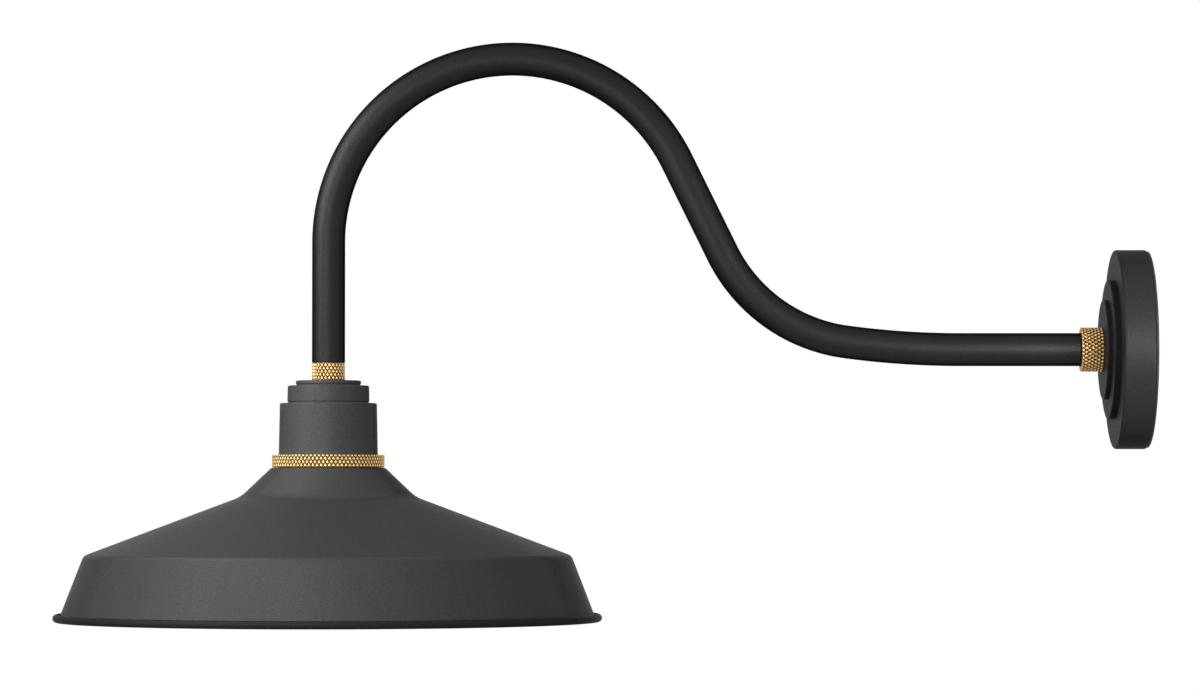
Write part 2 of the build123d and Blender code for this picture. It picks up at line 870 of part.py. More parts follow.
with BuildPart() as lamp_base:
    revolve(
        section(
            head_section,
            (insulator_radius + fit_gap, lamp_base_top - lamp_base_wall),
            (insulator_radius + fit_gap, lamp_base_top),
            (lamp_base_radius, lamp_base_top - lamp_shoulder),
            (lamp_base_radius, lamp_base_bottom),
            (lamp_base_radius - lamp_base_wall, lamp_base_bottom),
            (lamp_base_radius - lamp_base_wall, lamp_base_top - lamp_shoulder - lamp_base_wall),
        ),
        axis=head_axis,
    )

# Glass: straight neck, concave flank and a round bulb, all tangent
flank_height = lamp_base_bottom - lamp_centre
flank_radius = (lamp_neck_radius**2 + flank_height**2 - lamp_radius**2) / (
    2 * (lamp_radius - lamp_neck_radius)
)
flank_angle = degrees(atan(flank_height / (lamp_neck_radius + flank_radius)))

with BuildPart() as lamp_globe:
    with BuildSketch(head_section):
        with BuildLine():
            neck = Line(
                (lamp_neck_radius, lamp_base_bottom + lamp_neck_sleeve),
                (lamp_neck_radius, lamp_base_bottom),
            )
            flank = JernArc(neck @ 1, neck % 1, flank_radius, flank_angle)
            JernArc(flank @ 1, flank % 1, lamp_radius, -(90 + flank_angle))
            offset(amount=lamp_glass_wall, side=Side.RIGHT)
        make_face()
    revolve(axis=head_axis)

# Every piece is written under its own name
pieces = {
    "wall_canopy": wall_canopy,
    "wall_gasket": wall_gasket,
    "mounting_strap": mounting_strap,
    "canopy_set_screws": canopy_set_screws,
    "ground_screw": ground_screw,
    "gooseneck_arm": gooseneck_arm,
    "arm_wall_bush": arm_wall_bush,
    "wall_nipple": wall_nipple,
    "wall_lock_washer": wall_lock_washer,
    "wall_lock_nut": wall_lock_nut,
    "wire_bushing": wire_bushing,
    "wall_collar": wall_collar,
    "collar_seal": collar_seal,
    "arm_union_tail": arm_union_tail,
    "shade_coupling": shade_coupling,
    "cup_nipple": cup_nipple,
    "cup_lock_washer": cup_lock_washer,
    "cup_lock_nut": cup_lock_nut,
    "socket_cup": socket_cup,
    "shade_ring": shade_ring,
    "ring_gasket": ring_gasket,
    "shade": shade,
    "shade_lock_ring": shade_lock_ring,
    "socket_strap": socket_strap,
    "strap_screws": strap_screws,
    "socket_body": socket_body,
    "socket_screws": socket_screws,
    "terminal_screws": terminal_screws,
    "screw_shell": screw_shell,
    "centre_contact": centre_contact,
    "lamp_contact": lamp_contact,
    "lamp_insulator": lamp_insulator,
    "lamp_base": lamp_base,
    "lamp_globe": lamp_globe,
}

os.makedirs("parts", exist_ok=True)
for name, piece in pieces.items():
    piece.part.label = name
    export_step(piece.part, f"parts/{name}.step")
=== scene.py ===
from math import atan, atan2, asin, cos, hypot, pi, radians, sin, tan

import bpy
import numpy as np
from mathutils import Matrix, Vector


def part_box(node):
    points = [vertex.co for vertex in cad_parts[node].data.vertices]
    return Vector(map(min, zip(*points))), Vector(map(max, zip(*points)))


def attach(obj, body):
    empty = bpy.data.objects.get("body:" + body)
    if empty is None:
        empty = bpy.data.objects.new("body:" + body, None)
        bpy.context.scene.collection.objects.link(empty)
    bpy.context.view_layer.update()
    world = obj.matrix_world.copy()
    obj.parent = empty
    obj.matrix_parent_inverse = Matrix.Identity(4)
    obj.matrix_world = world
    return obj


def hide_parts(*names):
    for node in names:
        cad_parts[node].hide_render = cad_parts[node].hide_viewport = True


# Gooseneck barn light: a stepped canopy on the wall, a bent tube arm, knurled brass rings,
# a three-tier cup and a wide spun shade. Shapes are worked out in millimetres and placed in metres.

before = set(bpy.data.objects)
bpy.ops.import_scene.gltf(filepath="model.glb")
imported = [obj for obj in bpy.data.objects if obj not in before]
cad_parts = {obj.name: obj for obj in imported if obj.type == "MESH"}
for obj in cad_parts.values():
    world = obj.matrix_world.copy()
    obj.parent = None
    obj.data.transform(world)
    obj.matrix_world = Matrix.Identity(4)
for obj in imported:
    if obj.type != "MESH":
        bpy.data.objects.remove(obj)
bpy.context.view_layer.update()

MM = 0.001
FULL_TURN = 2 * pi


def low_high(node, axis):
    """Lowest and highest millimetre of a piece of the frame along X, Y or Z (0, 1 or 2)."""
    low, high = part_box(node)
    return low[axis] / MM, high[axis] / MM


def half_width(node):
    """Radius of a round piece of the frame, from its width along Y."""
    low, high = low_high(node, 1)
    return (high - low) / 2


# The shade's axis is upright at head_x
head_x = sum(low_high("shade", 0)) / 2

# Arm: bends as they were made on the bender
arm_radius = half_width("gooseneck_arm")
arm_wall = 2.0
arm_tip = -10.0                 # height of its lower end
arch_radius = 138.4
slope_turn = radians(63.8)
reverse_radius = 121.7
ease_turn = radians(7.7)
ease_radius = 645.0
arm_steps = 4001                # points on its centre line

# Knurled brass: diamonds round each ring, their length along it and the spokes of the grid to each
coupling_knurl = (26, 4.85, 16)
collar_knurl = (33, 5.0, 14)
ring_knurl = (84, 5.0, 12)
knurl_depth = 0.68
knurl_groove = 0.58             # share of a diamond's width
knurl_run_out = 0.4

# Shade: sheet line from the neck to the rolled bead
shade_wall = 1.2
neck_hole = 33.3                # in the shade, its gasket and its ring, round the cup's neck
shade_neck = 42.6
shade_knee = (65.7, 22.0)       # radius, drop below the top
shade_shoulder = (183.0, 66.2)
shade_bends = (4.0, 26.0, 6.5)  # at the neck, the knee and the shoulder
bead_radius = 3.0
bead_turn = radians(250)
bead_points = 31

# Lamp and holder thread
lamp_pitch = 3.63
lamp_thread_swing = 0.25

# Fineness of the grids: spokes round a piece, and millimetres between its rings of points
arm_spokes = 72
shade_spokes = 320
cup_spokes = 256
boss_spokes = 48
lamp_spokes = 128
long_spacing = 2.5


# Lines and surfaces

def unit(vectors):
    """Vectors divided by their lengths."""
    return vectors / np.linalg.norm(vectors, axis=-1, keepdims=True)


def rounded(corners, rounds, closed=True, steps=6, hold=0.3):
    """Line of (radius, station) points through corners, each corner turned into an arc.

    An arc of radius r leaves the two sides r / tan(half the corner's angle) before the corner, and its
    points swing from the one touching point to the other about its centre. A point is also put a short
    way out on each side, so that flat faces stay flat up to the arc.
    """
    corners = np.array(corners, float)
    rounds = np.broadcast_to(np.array(rounds, float), len(corners))
    back = np.roll(corners, 1, axis=0) - corners
    side = np.linalg.norm(back, axis=1)
    back = unit(back)
    on = np.roll(-back, -1, axis=0)
    half = np.arccos(np.clip((back * on).sum(axis=1), -1, 1)) / 2
    reach = rounds / np.tan(half)
    free_back = side - reach - np.roll(reach, 1)
    hold_back = np.minimum(hold, free_back / 3)
    hold_on = np.minimum(hold, np.roll(free_back, -1) / 3)
    start = corners + back * reach[:, None]
    end = corners + on * reach[:, None]
    centre = corners + unit(back + on) * (rounds / np.sin(half))[:, None]
    swing = (pi - 2 * half)[:, None]
    share = np.linspace(0, 1, steps + 1)
    from_start = (np.sin(swing * (1 - share)) / np.sin(swing))[..., None]
    from_end = (np.sin(swing * share) / np.sin(swing))[..., None]
    arcs = centre[:, None] + from_start * (start - centre)[:, None] + from_end * (end - centre)[:, None]
    before = start + back * hold_back[:, None]
    after = end + on * hold_on[:, None]
    line = np.concatenate([before[:, None], arcs, after[:, None]], axis=1)
    if not closed:
        return np.concatenate([corners[:1], line[1:-1].reshape(-1, 2), corners[-1:]])
    line = line.reshape(-1, 2)
    ahead = np.roll(line, -1, axis=0)
    area = (line[:, 0] * ahead[:, 1] - ahead[:, 0] * line[:, 1]).sum()
    return line if area > 0 else line[::-1]


def sleeve(inner, outer, low, high):
    """Corners of a plain ring's section, from its two radii and its two stations."""
    return [(inner, low), (outer, low), (outer, high), (inner, high)]


def finer(line, spacing, closed=True, near=None):
    """The same line with more points, so that no two are further apart than the spacing.

    near keeps the new points to walls of about that radius.
    """
    band = 0.3
    path = np.concatenate([line, line[:1]]) if closed else line
    along = np.concatenate([[0], np.cumsum(np.linalg.norm(np.diff(path, axis=0), axis=1))])
    more = np.linspace(0, along[-1], int(along[-1] / spacing) + 2)
    if near is not None:
        more = more[np.abs(np.interp(more, along, path[:, 0]) - near) < band]
    places = np.union1d(along, more)
    places = places[np.concatenate([[True], np.diff(places) > 1e-6])]
    radius = np.interp(places, along, path[:, 0])
    station = np.interp(places, along, path[:, 1])
    fine = np.stack([radius, station], axis=1)
    return fine[:-1] if closed else fine


def head_axis(station, out, side):
    """Places on the shade's upright axis: out towards the wall, side away from the viewer."""
    return np.stack(np.broadcast_arrays(head_x + out, side, station), axis=-1)


def wall_axis(station, out, side):
    """Places on the level wall axis: station is the distance from the wall, out is up."""
    return np.stack(np.broadcast_arrays(-station, side, out), axis=-1)


def stations(node, axis):
    """Lowest and highest station of a piece of the frame on the shade's axis or the wall axis."""
    if axis is wall_axis:
        far, close = low_high(node, 0)
        return -close, -far
    return low_high(node, 2)


def turned(axis, line, spokes, cut=None):
    """Grid of points of a turned piece: a line of (radius, station) points carried round an axis.

    cut, where there is one, is a function of radius, station and angle that gives the new radius and
    station at every point of the grid.
    """
    angle = np.linspace(0, FULL_TURN, spokes, endpoint=False)
    radius, station = line[:, :1], line[:, 1:]
    if cut is not None:
        radius, station = cut(radius, station, angle)
    return axis(station, radius * np.cos(angle), radius * np.sin(angle))


def skin(name, grids, finishes, closed=True, shades=None, face_finish=None):
    """Mesh object over one or more grids of points, rings by spokes, one face to a cell.

    The spokes run all round, and so do the rings of a closed grid. Points that fall on one another become
    one vertex, which closes seams and poles. shades are values for the attribute groove, and face_finish
    gives each ring's place in the list of finishes.
    """
    vertices, corners, sizes, values, kinds, count = [], [], [], [], [], 0
    for number, grid in enumerate(grids):
        rings, spokes = grid.shape[:2]
        places, order = np.unique((grid * MM).reshape(-1, 3).round(9), axis=0, return_inverse=True)
        index = order.reshape(rings, spokes)
        ahead = np.roll(index, -1, axis=1)
        cells = np.stack([index, ahead, np.roll(ahead, -1, axis=0), np.roll(index, -1, axis=0)], axis=-1)
        cells = (cells if closed else cells[:-1]).reshape(-1, 4)
        distinct = cells != np.roll(cells, -1, axis=1)
        whole = distinct.sum(axis=1) > 2
        vertices.append(places)
        corners.append(cells[whole][distinct[whole]] + count)
        sizes.append(distinct[whole].sum(axis=1))
        count += len(places)
        value = np.zeros(len(places))
        if shades is not None:
            value[order.ravel()] = np.broadcast_to(shades[number], (rings, spokes)).ravel()
        values.append(value)
        kind = np.repeat(np.zeros(rings, int) if face_finish is None else face_finish, spokes)
        kinds.append(kind[:len(cells)][whole])
    vertices, corners, sizes = np.concatenate(vertices), np.concatenate(corners), np.concatenate(sizes)
    mesh = bpy.data.meshes.new(name)
    mesh.vertices.add(len(vertices))
    mesh.vertices.foreach_set("co", vertices.astype(np.float32).ravel())
    mesh.loops.add(len(corners))
    mesh.loops.foreach_set("vertex_index", corners.astype(np.int32))
    mesh.polygons.add(len(sizes))
    mesh.polygons.foreach_set("loop_start", (np.cumsum(sizes) - sizes).astype(np.int32))
    for finish in finishes:
        mesh.materials.append(finish)
    mesh.polygons.foreach_set("material_index", np.concatenate(kinds).astype(np.int32))
    mesh.update(calc_edges=True)
    mesh.shade_smooth()
    if shades is not None:
        groove = mesh.attributes.new("groove", "FLOAT", "POINT")
        groove.data.foreach_set("value", np.concatenate(values).astype(np.float32))
    piece = bpy.data.objects.new(name, mesh)
    bpy.context.scene.collection.objects.link(piece)
    return piece


def smooth(share):
    """Even rise from 0 to 1 with level ends, as the share goes from 0 to 1."""
    share = np.clip(share, 0, 1)
    return share * share * (3 - 2 * share)


def nearest(phase):
    """Distance of a phase from the nearest whole number, 0 to 0.5."""
    return np.abs(phase - np.round(phase))


def knurl_grooves(station, angle, knurl):
    """How deep in a groove each point of a knurl is, 0 on a diamond's top to 1 at a groove's foot.

    Two families of helical grooves cross: one where diamonds * turns + station / length is a whole number,
    and one where the difference is. Their flanks are straight.
    """
    diamonds, length, _ = knurl
    across = diamonds * angle / FULL_TURN
    along = station / length
    close = np.minimum(nearest(across + along), nearest(across - along))
    return np.clip(1 - close / (knurl_groove / 2), 0, 1)


def knurled(axis, line, outer, knurl, low, high):
    """Grid and groove values of a knurled ring: its outer wall is cut down by the crossing grooves.

    The radius is the smaller of the turned one and the outer radius less the groove's depth. The grooves
    run out just past low and high.
    """
    grooves = {}

    def cut(radius, station, angle):
        ends = smooth((station - low) / knurl_run_out + 1) * smooth((high - station) / knurl_run_out + 1)
        depth = knurl_grooves(station, angle, knurl) * ends
        walls = radius > outer - 2 * knurl_depth
        grooves["depth"] = np.where(walls, depth, 0.0)
        return np.where(walls, np.minimum(radius, outer - knurl_depth * depth), radius), station

    diamonds, _, spokes_each = knurl
    grid = turned(axis, line, diamonds * spokes_each, cut)
    return grid, grooves["depth"]


def screw_thread(crest, pitch, depth, low, high):
    """Cut of a right-hand outside thread between two stations.

    The radius falls from the crest by the depth times a flattened triangle wave of
    station / pitch - turns, and the groove fades out over one pitch at each end.
    """
    steep, land, band = 2.4, 0.1, 0.2

    def cut(radius, station, angle):
        wave = np.clip(steep * nearest(station / pitch - angle / FULL_TURN) - land, 0, 1)
        fade = smooth((station - low) / pitch) * smooth((high - station) / pitch)
        on_crest = np.abs(radius - crest) < band
        return np.where(on_crest, np.minimum(radius, crest - depth * wave * fade), radius), station
    return cut


def rolled_thread(least, low, high):
    """Cut of the lamp's round rolled thread: walls past the least radius swing in by a cosine of
    station / pitch - turns, so that lamp and holder stay in step when the lamp is turned."""
    run_out = 2.0

    def cut(radius, station, angle):
        fade = smooth((station - low) / run_out) * smooth((high - station) / run_out)
        swing = lamp_thread_swing * (np.cos(FULL_TURN * station / lamp_pitch - angle) - 1)
        return np.where(radius > least, radius + swing * fade, radius), station
    return cut


def hexagon(flats, turn):
    """Cut of a hexagon: the radius is at most half the width across flats over the cosine of the angle
    from the nearest flat's middle."""
    def cut(radius, station, angle):
        from_flat = (angle + turn) % (pi / 3) - pi / 6
        return np.minimum(radius, flats / 2 / np.cos(from_flat)), station + 0 * angle
    return cut


def toothed(outer, root, teeth, lift):
    """Cut of a toothed washer: between the teeth the radius stops at the root, and each tooth is twisted,
    rising along the axis with the angle across it."""
    half_tooth, flank = 0.3, 0.06

    def cut(radius, station, angle):
        phase = (teeth * angle / FULL_TURN + 0.5) % 1 - 0.5
        tooth = smooth((half_tooth - np.abs(phase)) / flank)
        rim = root + (outer - root) * tooth
        rise = lift * phase * smooth((radius - root) / (outer - root))
        return np.minimum(radius, rim), station + rise
    return cut


# Node tools

def add(tree, kind, inputs=None, **settings):
    """Adds a node, sets it up, and fills its inputs with numbers, colours or links."""
    node = tree.nodes.new(kind)
    for key, value in settings.items():
        setattr(node, key, value)
    for key, value in (inputs or {}).items():
        if isinstance(value, bpy.types.NodeSocket):
            tree.links.new(value, node.inputs[key])
        else:
            node.inputs[key].default_value = value
    return node


def reckon(tree, operation, *values):
    """Math node on numbers or links."""
    return add(tree, "ShaderNodeMath", dict(enumerate(values)), operation=operation).outputs[0]


def blend_colour(tree, share, first, second):
    """Colour between two, by a share from 0 to 1."""
    inputs = {0: share, 6: first, 7: second}
    return add(tree, "ShaderNodeMix", inputs, data_type="RGBA").outputs[2]


def between(tree, value, low, high, to_low=0.0, to_high=1.0):
    """Value carried from one range to another, held at the ends."""
    inputs = {"Value": value, "From Min": low, "From Max": high, "To Min": to_low, "To Max": to_high}
    return add(tree, "ShaderNodeMapRange", inputs).outputs[0]


def noise(tree, place, size, detail=2.0):
    """Noise with features of a size in millimetres."""
    inputs = {"Vector": place, "Scale": 1 / (size * MM), "Detail": detail}
    return add(tree, "ShaderNodeTexNoise", inputs).outputs[0]


def own_group(name, inputs, outputs):
    """A new node group with number or vector inputs and number outputs; returns tree, entry and exit."""
    tree = bpy.data.node_groups.new(name, "ShaderNodeTree")
    for label, kind in inputs.items():
        tree.interface.new_socket(label, in_out="INPUT", socket_type=kind)
    for label in outputs:
        tree.interface.new_socket(label, in_out="OUTPUT", socket_type="NodeSocketFloat")
    return tree, tree.nodes.new("NodeGroupInput"), tree.nodes.new("NodeGroupOutput")


def powder_group():
    """Powder coat: fine orange peel with pinhead grains, and a slow drift of tone."""
    inputs = {"Place": "NodeSocketVector", "Grain": "NodeSocketFloat"}
    tree, entry, leave = own_group("powder grain", inputs, ["Height", "Tone"])
    peel = noise(tree, entry.outputs["Place"], 1.6, 1.0)
    scaled = add(tree, "ShaderNodeVectorMath", {0: entry.outputs["Place"]}, operation="SCALE")
    tree.links.new(entry.outputs["Grain"], scaled.inputs["Scale"])
    grains = noise(tree, scaled.outputs[0], 0.9, 3.0)
    drift = noise(tree, entry.outputs["Place"], 38.0, 3.0)
    height = reckon(tree, "MULTIPLY_ADD", peel, 0.35, between(tree, grains, 0.42, 0.72))
    speck = between(tree, grains, 0.32, 0.68, -0.5, 0.5)
    tone = reckon(tree, "MULTIPLY_ADD", speck, 0.95, between(tree, drift, 0.3, 0.7, -0.05, 0.05))
    tree.links.new(height, leave.inputs["Height"])
    tree.links.new(tone, leave.inputs["Tone"])
    return tree


def handling_group():
    """Handling: broad smudges and sparse fine scuffs, each 0 to 1."""
    inputs = {"Place": "NodeSocketVector", "Size": "NodeSocketFloat"}
    tree, entry, leave = own_group("handling marks", inputs, ["Smudge", "Scuff"])
    scaled = add(tree, "ShaderNodeVectorMath", {0: entry.outputs["Place"]}, operation="SCALE")
    tree.links.new(entry.outputs["Size"], scaled.inputs["Scale"])
    broad = noise(tree, scaled.outputs[0], 9.0, 4.0)
    fine = noise(tree, scaled.outputs[0], 0.8, 3.0)
    tree.links.new(between(tree, broad, 0.38, 0.68), leave.inputs["Smudge"])
    tree.links.new(between(tree, fine, 0.6, 0.78), leave.inputs["Scuff"])
    return tree


def turning_group():
    """Tool marks of a lathe: noise of the radius and the height alone, so that it runs round Z."""
    inputs = {"Place": "NodeSocketVector", "Pitch": "NodeSocketFloat"}
    tree, entry, leave = own_group("turning marks", inputs, ["Height"])
    parts = add(tree, "ShaderNodeSeparateXYZ", {0: entry.outputs["Place"]})
    flat = add(tree, "ShaderNodeCombineXYZ", {0: parts.outputs[0], 1: parts.outputs[1]})
    radius = add(tree, "ShaderNodeVectorMath", {0: flat.outputs[0]}, operation="LENGTH")
    ring = add(tree, "ShaderNodeCombineXYZ", {0: radius.outputs["Value"], 2: parts.outputs[2]})
    scaled = add(tree, "ShaderNodeVectorMath", {0: ring.outputs[0]}, operation="SCALE")
    tree.links.new(entry.outputs["Pitch"], scaled.inputs["Scale"])
    tree.links.new(noise(tree, scaled.outputs[0], 1.0, 2.0), leave.inputs["Height"])
    return tree


powder_grain = powder_group()
handling_marks = handling_group()
turning_marks = turning_group()


def use(tree, group, place, **numbers):
    """Places a group in a material, with its own values."""
    node = add(tree, "ShaderNodeGroup", node_tree=group)
    tree.links.new(place, node.inputs["Place"])
    for key, value in numbers.items():
        node.inputs[key].default_value = value
    return node.outputs


def tint(colour, share=1.0):
    """A colour times a share, with full alpha."""
    return tuple(share * part for part in colour) + (1,)


def start_finish(name):
    """A new material: its tree, its shader and its Object coordinates."""
    finish = bpy.data.materials.new(name)
    finish.use_nodes = True
    tree = finish.node_tree
    place = tree.nodes.new("ShaderNodeTexCoord").outputs["Object"]
    return finish, tree, tree.nodes["Principled BSDF"], place


def bump(tree, shader, height, depth, strength=1.0):
    """Bump of a height map whose full height is a depth in millimetres."""
    inputs = {"Height": height, "Distance": depth * MM, "Strength": strength}
    tree.links.new(add(tree, "ShaderNodeBump", inputs).outputs[0], shader.inputs["Normal"])


def centred(tree, place, wall=False):
    """Object coordinates moved to the shade's axis, or turned so that the wall axis is Z."""
    if wall:
        inputs = {"Vector": place, "Rotation": (0, pi / 2, 0)}
    else:
        inputs = {"Vector": place, "Location": (-head_x * MM, 0, 0)}
    return add(tree, "ShaderNodeMapping", inputs).outputs[0]


# Finishes

brass_colour = (0.86, 0.595, 0.265)
# Colour of old wax in the knurl's grooves, dark enough to paint the grooves' shade as well.
wax_and_painted_shade_colour = (0.115, 0.041, 0.008)
enamel_colour = (0.80, 0.79, 0.76)
smudged_colour = (0.785, 0.775, 0.745)


def charcoal_coat(where, tone, flake, rough, grain, depth, spun=False):
    """Charcoal powder coat with a share of fine metal flake. A spun sheet shows its spinner's rings."""
    finish, tree, shader, place = start_finish("charcoal coat on " + where)
    coat = use(tree, powder_grain, place, Grain=grain)
    dark = (0.84 * tone, 0.84 * tone, 0.85 * tone, 1)
    light = (1.16 * tone, 1.16 * tone, 1.17 * tone, 1)
    colour = blend_colour(tree, between(tree, coat["Tone"], -0.5, 0.5), dark, light)
    gloss = between(tree, coat["Tone"], -0.5, 0.5, rough + 0.05, rough - 0.05)
    tree.links.new(colour, shader.inputs["Base Color"])
    tree.links.new(gloss, shader.inputs["Roughness"])
    shader.inputs["Metallic"].default_value = flake
    shader.inputs["Specular IOR Level"].default_value = 0.02
    shader.inputs["Specular Tint"].default_value = (0.1, 0.1, 0.1, 1)
    height = coat["Height"]
    if spun:
        rings = use(tree, turning_marks, centred(tree, place), Pitch=0.35)["Height"]
        height = reckon(tree, "MULTIPLY_ADD", rings, 0.8, height)
    bump(tree, shader, height, depth, 0.6)
    return finish


def white_enamel():
    """Inside of the shade: glossy white with a slight orange peel and the spinner's rings."""
    finish, tree, shader, place = start_finish("white enamel")
    coat = use(tree, powder_grain, place, Grain=0.5)
    rings = use(tree, turning_marks, centred(tree, place), Pitch=0.35)["Height"]
    marks = use(tree, handling_marks, place, Size=0.25)
    colour = blend_colour(tree, marks["Smudge"], tint(enamel_colour), tint(smudged_colour))
    tree.links.new(colour, shader.inputs["Base Color"])
    tree.links.new(between(tree, marks["Smudge"], 0, 1, 0.28, 0.42), shader.inputs["Roughness"])
    bump(tree, shader, reckon(tree, "MULTIPLY_ADD", rings, 0.6, coat["Height"]), 0.03, 0.5)
    return finish


def knurled_brass(name, bright, wall):
    """Satin brass with rubbed tops, darkened in the knurl's grooves by old wax and by painted shade."""
    finish, tree, shader, place = start_finish(name)
    groove = add(tree, "ShaderNodeAttribute", attribute_name="groove").outputs["Fac"]
    marks = use(tree, handling_marks, place, Size=2.0)
    rings = use(tree, turning_marks, centred(tree, place, wall), Pitch=3.0)["Height"]
    rubbed, dull = tint(brass_colour, bright), tint(brass_colour, 0.82 * bright)
    metal = blend_colour(tree, marks["Smudge"], rubbed, dull)
    # Deeper in a groove the colour goes to the wax: partly old wax, partly painted shade.
    deep = between(tree, groove, 0.2, 0.74)
    tree.links.new(blend_colour(tree, deep, metal, tint(wax_and_painted_shade_colour, bright)), shader.inputs["Base Color"])
    tree.links.new(between(tree, groove, 0.2, 1.0, 0.30, 0.55), shader.inputs["Roughness"])
    shader.inputs["Metallic"].default_value = 1.0
    shader.inputs["Specular Tint"].default_value = (0.55, 0.38, 0.2, 1)
    bump(tree, shader, reckon(tree, "MULTIPLY_ADD", marks["Scuff"], 0.5, rings), 0.012, 0.5)
    return finish


def plain_metal(name, colour, low, high, marks_size, pitch=None):
    """Plated or bare metal: smudges change its colour and gloss, and fine scuffs stand in the surface."""
    finish, tree, shader, place = start_finish(name)
    marks = use(tree, handling_marks, place, Size=marks_size)
    worn = blend_colour(tree, marks["Smudge"], tint(colour), tint(colour, 0.8))
    tree.links.new(worn, shader.inputs["Base Color"])
    tree.links.new(between(tree, marks["Smudge"], 0, 1, low, high), shader.inputs["Roughness"])
    shader.inputs["Metallic"].default_value = 1.0
    height = marks["Scuff"]
    if pitch:
        rings = use(tree, turning_marks, centred(tree, place), Pitch=pitch)["Height"]
        height = reckon(tree, "MULTIPLY_ADD", height, 0.5, rings)
    bump(tree, shader, height, 0.01, 0.5)
    return finish


def moulded(name, colour, vary, low, high, grain, depth):
    """Moulded or glazed piece: fine grain in the surface and smudges in the gloss."""
    finish, tree, shader, place = start_finish(name)
    coat = use(tree, powder_grain, place, Grain=grain)
    marks = use(tree, handling_marks, place, Size=0.6)
    share = between(tree, coat["Tone"], -0.5, 0.5)
    mottled = blend_colour(tree, share, tint(colour, 1 - vary), tint(colour, 1 + vary))
    tree.links.new(mottled, shader.inputs["Base Color"])
    tree.links.new(between(tree, marks["Smudge"], 0, 1, low, high), shader.inputs["Roughness"])
    bump(tree, shader, coat["Height"], depth, 0.5)
    return finish, shader


# One charcoal powder coat in several tones: the tube's and the canopy's are about a third of the cup's and
# the sheet's, darkened as painted shade.
tube_coat_darkened_as_shade = charcoal_coat("tube", tone=0.024, flake=0.90, rough=0.48, grain=1.0, depth=0.05)
canopy_coat_darkened_as_shade = charcoal_coat("canopy", tone=0.026, flake=0.35, rough=0.48, grain=0.9, depth=0.06)
cup_coat = charcoal_coat("cup", tone=0.079, flake=0.35, rough=0.52, grain=0.9, depth=0.06)
# The bead's tone is darker still than the sheet's: painted shade along the rolled rim.
bead_coat_darkened_as_shade = charcoal_coat("bead", tone=0.030, flake=0.35, rough=0.52, grain=1.0, depth=0.045)
sheet_coat = charcoal_coat("sheet", tone=0.0735, flake=0.35, rough=0.52, grain=1.0, depth=0.045, spun=True)
enamel = white_enamel()
head_brass = knurled_brass("knurled brass", bright=1.0, wall=False)
# The wall collar's brass is the same brass at nine tenths of the brightness, wax included, as painted
# shade.
wall_brass_darkened_as_shade = knurled_brass("knurled brass at the wall", bright=0.9, wall=True)
zinc = plain_metal("zinc plate", (0.58, 0.59, 0.61), low=0.32, high=0.48, marks_size=1.0)
pressed_brass = plain_metal("pressed brass", (0.66, 0.47, 0.20), low=0.26, high=0.42, marks_size=1.5)
nickel = plain_metal("lamp nickel", (0.66, 0.65, 0.62), low=0.22, high=0.36, marks_size=2.0, pitch=2.5)
green_zinc = plain_metal("green passivated", (0.06, 0.30, 0.10), low=0.35, high=0.5, marks_size=1.5)
porcelain, porcelain_shader = moulded(
    "porcelain glaze", (0.83, 0.82, 0.78), vary=0.02, low=0.10, high=0.2, grain=0.4, depth=0.02
)
rubber, _ = moulded(
    "black rubber", (0.022, 0.022, 0.023), vary=0.15, low=0.7, high=0.85, grain=0.8, depth=0.05
)
nylon, _ = moulded(
    "black nylon", (0.03, 0.03, 0.032), vary=0.1, low=0.42, high=0.55, grain=0.7, depth=0.03
)
lamp_black, _ = moulded(
    "lamp insulator", (0.012, 0.012, 0.013), vary=0.1, low=0.08, high=0.15, grain=0.4, depth=0.01
)
opal, opal_shader = moulded(
    "opal glass", (0.86, 0.855, 0.83), vary=0.01, low=0.16, high=0.2, grain=0.6, depth=0.004
)
porcelain_shader.inputs["Coat Weight"].default_value = 0.6
porcelain_shader.inputs["Coat Roughness"].default_value = 0.08
opal_shader.inputs["Subsurface Weight"].default_value = 0.35
opal_shader.inputs["Subsurface Radius"].default_value = (0.006, 0.006, 0.0055)
opal_shader.inputs["Subsurface Scale"].default_value = 1.0


def put(piece, body, slot, *nodes):
    """The piece rides on a body and stands for the named nodes, which are hidden. slot is not used."""
    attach(piece, body)
    if nodes:
        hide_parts(*nodes)
    return piece


# Arm

def arm_centre_line():
    """Stations, points and headings of the arm's centre line, from its tip to the wall.

    The heading holds along each straight and turns evenly along each bend. The points are the sum of
    short steps, each in the middle heading of its step. The level run then goes on to the wall end.
    """
    top = low_high("gooseneck_arm", 2)[1] - arm_radius
    wall_end = low_high("gooseneck_arm", 0)[1]
    arch_foot = top - arch_radius
    fall = (
        arch_foot
        + arch_radius * cos(slope_turn)
        - reverse_radius * (cos(ease_turn) - cos(slope_turn))
        - ease_radius * (1 - cos(ease_turn))
    )
    lengths = [
        arch_foot - arm_tip,
        arch_radius * (pi / 2 + slope_turn),
        fall / sin(slope_turn),
        reverse_radius * (slope_turn - ease_turn),
        ease_radius * ease_turn,
    ]
    ends = np.concatenate([[0], np.cumsum(lengths)])
    station = np.linspace(0, ends[-1], arm_steps)
    heading = np.interp(station, ends, [pi / 2, pi / 2, -slope_turn, -slope_turn, -ease_turn, 0])
    middle = (heading[1:] + heading[:-1]) / 2
    steps = np.diff(station)[:, None] * np.stack([np.cos(middle), np.sin(middle)], axis=1)
    points = np.array([head_x, arm_tip]) + np.concatenate([np.zeros((1, 2)), np.cumsum(steps, axis=0)])
    level = wall_end - points[-1, 0]
    station = np.append(station, station[-1] + level)
    points = np.concatenate([points, [[wall_end, points[-1, 1]]]])
    return station, points, np.append(heading, 0)


arm_stations, arm_points, arm_headings = arm_centre_line()


